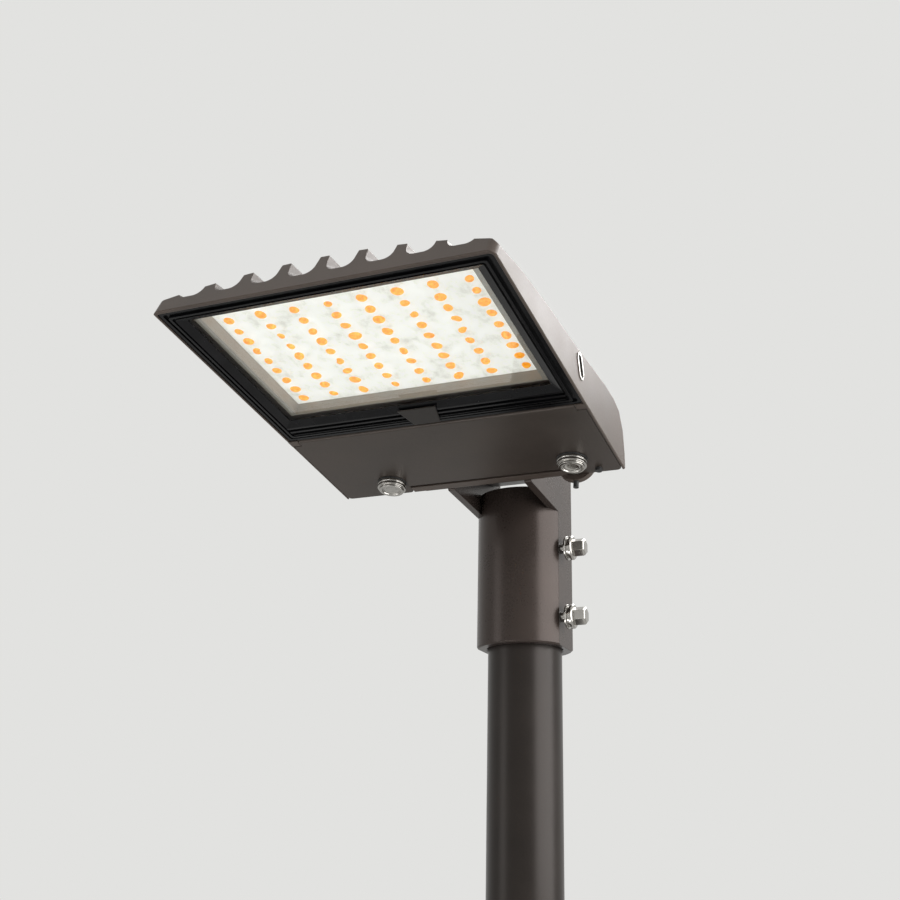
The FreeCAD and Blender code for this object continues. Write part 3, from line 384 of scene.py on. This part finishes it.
# %% Finishes for the nodes that stay
finish_of = {
    bronze: ["housing", "tilt_arm"],
    clip_coat: ["frame_clip"],
    bronze_door_painted_shade: ["driver_door"],
    bronze_fitter_painted_shade: ["slip_fitter"],
    black_pole: ["pole_section"],
    polished: ["set_bolt_lower", "set_bolt_upper", "set_bolt_washers", "set_bolt_spring_washers",
               "thumb_screw_left", "thumb_screw_right", "side_eyelet"],
    plain_steel: ["tilt_pivot_bolt", "tilt_pivot_nut", "tilt_pivot_washers", "arm_bolts", "arm_bolt_washers",
                  "friction_washers", "board_screws", "door_hinge_pins", "driver_screws"],
    gloss_black: ["lens_frame"],
    window: ["lens_glass"],
    rubber: ["lens_gasket", "door_gasket", "arm_gasket", "pole_cap_bushing"],
    matt_black: ["thumb_washers", "side_eyelet_plug", "lanyard_stud", "breather_vent", "surge_protector",
                 "terminal_block"],
    reflector_grey: ["reflector_frame"],
    film_white_painted_glow: ["reflector_sheet"],
    phosphor: ["leds"],
    board_white: ["led_board"],
    grey_pad: ["thermal_pad"],
    bare_aluminium: ["led_driver"],
    red_jacket: ["led_lead"],
}
for material, names in finish_of.items():
    for name in names:
        slots = node[name].material_slots
        if not slots:
            node[name].data.materials.append(material)
        for place in slots:
            place.material = material
unfinished = sorted(set(node) - set(sum(finish_of.values(), [])))
print("nodes without a finish:", unfinished)

# %% [markdown]
# ## Finer pieces
# A CAD mesh is exact but plain. Where a turned or moulded piece needs more, a finer mesh takes
# its place. It rides on the same body, so it moves with the same joint, and it says which node
# it replaces, so the plain one isn't seen.

# %% Helpers for finer pieces


def new_piece(name, mesh, material, body, slot, *replaced):
    """Puts a finished mesh into the scene, on its body."""
    piece = bpy.data.objects.new(name, mesh)
    bpy.context.scene.collection.objects.link(piece)
    mesh.materials.append(material)
    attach(piece, body)
    if replaced:
        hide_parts(*replaced)
    return piece


def smooth(mesh, angle=math.radians(40)):
    """Smooth shading, with creases where faces meet sharply."""
    mesh.polygons.foreach_set("use_smooth", [True] * len(mesh.polygons))
    mesh.set_sharp_from_angle(angle=angle)

print("piece helpers ready")

# %% [markdown]
# ## The white film
# On the real light a thin white reflector film lies over the board, and it isn't flat: it swells
# softly between the emitters and dips around each one, which with the film's painted glow gives
# the window its cloudy look. A bump would only fake the swells for one light, so a grid of small
# squares is pushed in and out instead. The swelling comes from a few sine waves with seeded
# phases, so it is the same each run.

# %% Film settings and emitter places
EMITTER_COLUMNS, EMITTER_ROWS = 8, 10
EMITTER_RADIUS = 3.7 * MM
FILM_SWELL = 0.7 * MM
FILM_STEP = 2.2 * MM
FILM_DIP = 3.4 * MM


def emitter_places():
    """Level head coordinates of the emitters, worked out from the node that holds them."""
    low, high = head_box("leds")
    radius = EMITTER_RADIUS
    across = [low.x + radius + k * (high.x - low.x - 2 * radius) / (EMITTER_COLUMNS - 1)
              for k in range(EMITTER_COLUMNS)]
    along = [low.y + radius + k * (high.y - low.y - 2 * radius) / (EMITTER_ROWS - 1)
             for k in range(EMITTER_ROWS)]
    return [(x, y) for x in across for y in along], low.z, high.z


places, emitter_low, emitter_high = emitter_places()
print(len(places), "emitters, domes", round((emitter_high - emitter_low) / MM, 2), "mm deep")

# %% Film


def film_mesh():
    low, high = head_box("reflector_sheet")
    rng = random.Random(11)
    waves = [(rng.uniform(180, 620), rng.uniform(180, 620), rng.uniform(0, 6.3),
              rng.uniform(0.3, 1.0)) for _ in range(14)]
    nx, ny = (max(2, round((high[k] - low[k]) / FILM_STEP)) for k in (0, 1))
    bm = bmesh.new()
    grid = []
    for j in range(ny + 1):
        for i in range(nx + 1):
            x = low.x + (high.x - low.x) * i / nx
            y = low.y + (high.y - low.y) * j / ny
            swell = sum(a * math.sin(kx * x + ky * y + p) for kx, ky, p, a in waves) / 5
            near = min((x - px) ** 2 + (y - py) ** 2 for px, py in places)
            dip = 1 - math.exp(-near / (2 * FILM_DIP ** 2))
            z = low.z + FILM_SWELL * (0.5 - 0.5 * math.tanh(swell)) * dip
            grid.append(bm.verts.new(head_place @ Vector((x, y, z))))
    for j in range(ny):
        for i in range(nx):
            a = j * (nx + 1) + i
            bm.faces.new((grid[a], grid[a + nx + 1], grid[a + nx + 2], grid[a + 1]))
    back = [bm.verts.new(head_place @ Vector((x, y, high.z))) for x, y in
            ((low.x, low.y), (high.x, low.y), (high.x, high.y), (low.x, high.y))]
    bm.faces.new(back)
    mesh = bpy.data.meshes.new("white_film")
    bm.to_mesh(mesh)
    bm.free()
    smooth(mesh)
    return mesh


new_piece("white_film", film_mesh(), film_white_painted_glow, "head", "reflector_white", "reflector_sheet")
print("film laid")

# %% [markdown]
# ## The emitters
# Each emitter is a blob of phosphor-filled silicone, poured by machine and never twice the same:
# a little off centre, a little long, slumped to one side. Every dome starts as a small ball,
# is squashed onto the board, and is pushed about by its own seeded bumps.

# %% Phosphor domes


def phosphor_domes():
    rng = random.Random(7)
    bm = bmesh.new()
    depth = emitter_high - emitter_low
    for x, y in places:
        lean = rng.uniform(0, math.tau)
        stretch = rng.uniform(0.94, 1.18)
        size = EMITTER_RADIUS * rng.uniform(0.88, 1.12)
        lumps = [(rng.uniform(-1, 1), rng.uniform(-1, 1), rng.uniform(-1, 0.2),
                  rng.uniform(-0.20, 0.16)) for _ in range(6)]
        made = bmesh.ops.create_icosphere(bm, subdivisions=3, radius=1.0)["verts"]
        for v in made:
            n = v.co.copy()
            push = 1 + sum(a * max(0, n.x * lx + n.y * ly + n.z * lz) ** 2 for lx, ly, lz, a in lumps)
            u, w = n.x * stretch * push, n.y / stretch ** 0.5 * push
            px = x + size * (u * math.cos(lean) - w * math.sin(lean))
            py = y + size * (u * math.sin(lean) + w * math.cos(lean))
            pz = emitter_high + min(0.0, n.z) * depth * min(1.0, 0.9 * push)
            v.co = head_place @ Vector((px, py, min(pz, emitter_high)))
    mesh = bpy.data.meshes.new("phosphor_domes")
    bm.to_mesh(mesh)
    bm.free()
    smooth(mesh, math.radians(60))
    return mesh


new_piece("phosphor_domes", phosphor_domes(), phosphor, "head", "led_yellow", "leds")
print("domes poured")

# %% [markdown]
# ## Turned pieces
# The pole, thumb screws, washers and flanges were all made on a lathe or rolled round, so they
# are made the same way here: an outline of radius and height, with tiny rounds at its corners,
# spun round its axis. The rounds matter most, since they are what catches the light.

# %% Lathe helper and pole


def rounded(outline, radius, steps=3):
    """The outline with each inner corner replaced by a small arc."""
    points = [outline[0]]
    for before, corner, after in zip(outline, outline[1:], outline[2:]):
        a, b, c = Vector(before), Vector(corner), Vector(after)
        reach = min(radius, (a - b).length * 0.45, (c - b).length * 0.45)
        start = b + (a - b).normalized() * reach
        end = b + (c - b).normalized() * reach
        for k in range(steps + 1):
            t = k / steps
            points.append(tuple(start * (1 - t) ** 2 + b * 2 * t * (1 - t) + end * t ** 2))
    return points + [outline[-1]]


def spin(name, outline, place, sides=96, trim=None):
    """Mesh of an outline of (radius, height) points turned round the Z axis of a place."""
    bm = bmesh.new()
    rings = []
    for r, h in outline:
        if r < 1e-6:
            rings.append([bm.verts.new(place @ Vector((0, 0, h)))] * sides)
            continue
        ring = []
        for k in range(sides):
            a = math.tau * k / sides
            rr = r * (1 - trim(a)) if trim else r
            ring.append(bm.verts.new(place @ Vector((rr * math.cos(a), rr * math.sin(a), h))))
        rings.append(ring)
    for low, high in zip(rings, rings[1:]):
        for k in range(sides):
            n = (k + 1) % sides
            corners = []
            for v in (low[k], low[n], high[n], high[k]):
                if v not in corners:
                    corners.append(v)
            if len(corners) > 2:
                bm.faces.new(corners)
    bmesh.ops.recalc_face_normals(bm, faces=bm.faces)
    mesh = bpy.data.meshes.new(name)
    bm.to_mesh(mesh)
    bm.free()
    smooth(mesh)
    return mesh


POLE_WALL = 3.9 * MM
pole_low, pole_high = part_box("pole_section")
pole_radius = (pole_high.x - pole_low.x) / 2
pole_length = pole_high.z - pole_low.z
bore = pole_radius - POLE_WALL
middle_wall = (bore, pole_length / 2)
tube_outline = [middle_wall, (bore, 0), (pole_radius, 0), (pole_radius, pole_length),
                (bore, pole_length), middle_wall]
pole = spin("round_pole", rounded(tube_outline, 0.5 * MM), Matrix.Identity(4), sides=160)
new_piece("round_pole", pole, black_pole, "pole", "pole_paint", "pole_section")
print("pole spun, radius", round(pole_radius / MM, 2), "mm")

# %% [markdown]
# ## Thumb screws
# Two captive screws hold the door. Each has a polished rim with a turned groove, a step, and a
# dished end with a raised ring round a recessed centre.

# %% Thumb screws
SCREW_STEP_SHARE = 0.873
SCREW_DISH_SHARE = 0.64
SCREW_GROOVE = 0.4 * MM
SCREW_SHANK = 3.0 * MM
SCREW_ROUND = 0.35 * MM


def screw_mesh(name, side):
    """A thumb screw's head and shank, turned round its own axis at its place on the door."""
    low, high = head_box(f"thumb_screw_{side}")
    radius = (high.x - low.x) / 2
    middle = Vector(((low.x + high.x) / 2, (low.y + high.y) / 2, 0))
    step = radius * SCREW_STEP_SHARE
    dish = radius * SCREW_DISH_SHARE
    neck = radius - SCREW_GROOVE
    heights = [  # radius, and millimetres up from the end face
        (0, 1.3), (dish * 0.55, 1.25), (dish * 0.72, 0.75), (dish * 0.82, 0.75), (dish * 0.92, 1.15),
        (dish, 0.9), (dish * 1.04, 0), (step, 0), (step, 1.8), (radius, 1.8), (radius, 3.6),
        (neck, 3.75), (neck, 4.35), (radius, 4.5), (radius, 6.4), (SCREW_SHANK, 6.4)]
    outline = [(r, low.z + h * MM) for r, h in heights] + [(SCREW_SHANK, high.z), (0, high.z)]
    place = head_place @ Matrix.Translation(middle)
    return spin(name, rounded(outline, SCREW_ROUND), place, sides=120)


for side in ("left", "right"):
    name = f"turned_screw_{side}"
    new_piece(name, screw_mesh(name, side), polished, f"thumb_{side}", "polished_steel",
              f"thumb_screw_{side}")
print("thumb screws turned")

# %% [markdown]
# ## Set bolts
# A flanged hexagon bolt: the flange and shank are turned, and the head is a six-sided bar whose
# end was chamfered by a cone. Spinning an outline whose radius swings six times a turn makes the
# hexagon and its chamfer in one go.

# %% Set bolts and washers
BOLT_RADIUS = 4.0 * MM
HEX_FLATS = 12.6 * MM
HOLE_GAP = 0.1 * MM
RING_SEAM = 0.8 * MM     # where a ring's outline starts on the wall of its hole
RING_ROUND = 0.35 * MM
ALONG_X = Matrix.Rotation(math.pi / 2, 4, "Y")


def hexagon_trim(across):
    """Share of a corner's radius that is cut away at each angle of a hexagon bar."""
    corner = across / math.sqrt(3)

    def trim(angle):
        swing = (angle % (math.pi / 3)) - math.pi / 6
        return 1 - across / 2 / math.cos(swing) / corner
    return trim


def join(name, meshes):
    bm = bmesh.new()
    for mesh in meshes:
        bm.from_mesh(mesh)
        bpy.data.meshes.remove(mesh)
    mesh = bpy.data.meshes.new(name)
    bm.to_mesh(mesh)
    bm.free()
    smooth(mesh)
    return mesh


def bolt_mesh(which):
    low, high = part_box(f"set_bolt_{which}")
    middle = Vector((0, (low.y + high.y) / 2, (low.z + high.z) / 2))
    flange = (high.y - low.y) / 2
    seat = washer_end
    place = Matrix.Translation(middle) @ ALONG_X
    turned = [(0, low.x), (BOLT_RADIUS, low.x), (BOLT_RADIUS, seat), (flange, seat),
              (flange, seat + 2.0 * MM), (flange * 0.9, seat + 2.9 * MM),
              (HEX_FLATS * 0.5, seat + 3.0 * MM), (0, seat + 3.0 * MM)]
    corner = HEX_FLATS / math.sqrt(3)
    head = [(corner * 0.9, seat + 2.6 * MM), (corner, seat + 2.9 * MM), (corner, high.x - 1.6 * MM),
            (corner * 0.94, high.x - 0.5 * MM), (corner * 0.8, high.x), (0, high.x)]
    parts = [spin("turned", rounded(turned, 0.4 * MM), place),
             spin("hexagon", rounded(head, 0.5 * MM), place, sides=120, trim=hexagon_trim(HEX_FLATS))]
    return join(f"hex_bolt_{which}", parts)


def ring_pair(name, node_name):
    """Turned rings in the place of a node that holds one for each bolt."""
    low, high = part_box(node_name)
    radius = (high.z - low.z - bolt_gap) / 2
    hole = BOLT_RADIUS + HOLE_GAP
    seam = (hole, low.x + RING_SEAM)
    outline = [seam, (hole, low.x), (radius, low.x), (radius, high.x), (hole, high.x), seam]
    rings = []
    for height in bolt_z:
        place = Matrix.Translation((0, bolt_axis_y, height)) @ ALONG_X
        rings.append(spin(name, rounded(outline, RING_ROUND), place))
    return join(name, rings)


bolt_z = [joint[f"set_bolt_turn_{w}"]["pos_m"][2] for w in ("lower", "upper")]
bolt_axis_y = joint["set_bolt_turn_lower"]["pos_m"][1]
bolt_gap = bolt_z[1] - bolt_z[0]
washer_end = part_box("set_bolt_spring_washers")[1].x
for which in ("lower", "upper"):
    new_piece(f"hex_bolt_{which}", bolt_mesh(which), polished, f"set_bolt_{which}", "polished_steel",
              f"set_bolt_{which}")
new_piece("flat_washers", ring_pair("flat_washers", "set_bolt_washers"), polished, "fitter",
          "polished_steel", "set_bolt_washers")
print("bolts and washers made")

# %% [markdown]
# ## Studio
# A plain pale room: a floor well below the cut pole, a world that lights softly, and a few large
# lamps. The camera, mirrors and glass see a pale grey instead of that soft light, so the room
# looks pale without more light on the object, and the floor keeps its shadow. The tall lamp on
# the right gives the bright right side and the edge of light on the round clamp.

# %% Floor, world and lamps
FLOOR_HEIGHT = -1.6
FLOOR_HALF = 12.0
BACKGROUND = rgb(226, 226, 224)
FLOOR_GLOW = 0.7         # share of the background's colour in what is seen of the floor
SEEING_RAYS = ("Is Camera Ray", "Is Glossy Ray", "Is Transmission Ray")
target = Vector((0, -0.2, 0.32))


def flat_floor():
    mesh = bpy.data.meshes.new("floor")
    corners = [(-FLOOR_HALF, -FLOOR_HALF), (FLOOR_HALF, -FLOOR_HALF), (FLOOR_HALF, FLOOR_HALF),
               (-FLOOR_HALF, FLOOR_HALF)]
    mesh.from_pydata([(x, y, FLOOR_HEIGHT) for x, y in corners], [], [(0, 1, 2, 3)])
    floor = bpy.data.objects.new("floor", mesh)
    bpy.context.scene.collection.objects.link(floor)
    paint = Finish("floor_paint", Roughness=0.8)
    rays = [paint.node("ShaderNodeLightPath", out=name) for name in SEEING_RAYS]
    seen = (rays[0] + rays[1] + rays[2]).clamped() * FLOOR_GLOW
    pale = paint.node("ShaderNodeEmission", {}, {"Color": BACKGROUND})
    both = paint.node("ShaderNodeMixShader", {}, {0: seen, 2: pale})
    paint.tree.links.new(paint.surface.outputs[0], both.socket.node.inputs[1])
    paint.plug(paint.tree.nodes["Material Output"].inputs["Surface"], both)
    paint.set(Base_Color=paint.shades(paint.noise(0.6), (0.3, rgb(222, 222, 220)[:3]),
                                      (0.7, rgb(230, 230, 228)[:3])))
    mesh.materials.append(paint.material)


def studio_world(strength):
    world = bpy.data.worlds.new("studio")
    bpy.context.scene.world = world
    world.use_nodes = True
    tree = world.node_tree
    light = tree.nodes["Background"]
    light.inputs["Color"].default_value = (1, 1, 1, 1)
    light.inputs["Strength"].default_value = strength
    seen = tree.nodes.new("ShaderNodeBackground")
    seen.inputs["Color"].default_value = BACKGROUND
    path = tree.nodes.new("ShaderNodeLightPath")
    seeing = path.outputs[SEEING_RAYS[0]]
    for ray in SEEING_RAYS[1:]:
        either = tree.nodes.new("ShaderNodeMath")
        either.operation = "MAXIMUM"
        tree.links.new(seeing, either.inputs[0])
        tree.links.new(path.outputs[ray], either.inputs[1])
        seeing = either.outputs[0]
    mix = tree.nodes.new("ShaderNodeMixShader")
    tree.links.new(seeing, mix.inputs[0])
    tree.links.new(light.outputs[0], mix.inputs[1])
    tree.links.new(seen.outputs[0], mix.inputs[2])
    tree.links.new(mix.outputs[0], tree.nodes["World Output"].inputs["Surface"])


def lamp(name, place, width, height, watts, aim=target):
    data = bpy.data.lights.new(name, "AREA")
    data.shape = "RECTANGLE"
    data.size, data.size_y = width, height
    data.energy = watts
    light = bpy.data.objects.new(name, data)
    turned = (aim - Vector(place)).to_track_quat("-Z", "Y").to_matrix().to_4x4()
    light.matrix_world = Matrix.Translation(place) @ turned
    bpy.context.scene.collection.objects.link(light)


flat_floor()
studio_world(0.16)
lamp("tall_right", (2.1, -0.35, 0.5), 2.5, 2.2, 88)
lamp("soft_left", (-1.9, -1.7, 0.1), 0.9, 1.8, 10)
lamp("low_front", (-0.5, -0.8, -0.85), 1.0, 0.4, 5)
lamp("high_back", (0.4, 1.9, 1.9), 1.8, 1.2, 40)
lamp("high_front", (-0.6, -1.6, 2.2), 1.6, 1.6, 14)
print("studio ready")
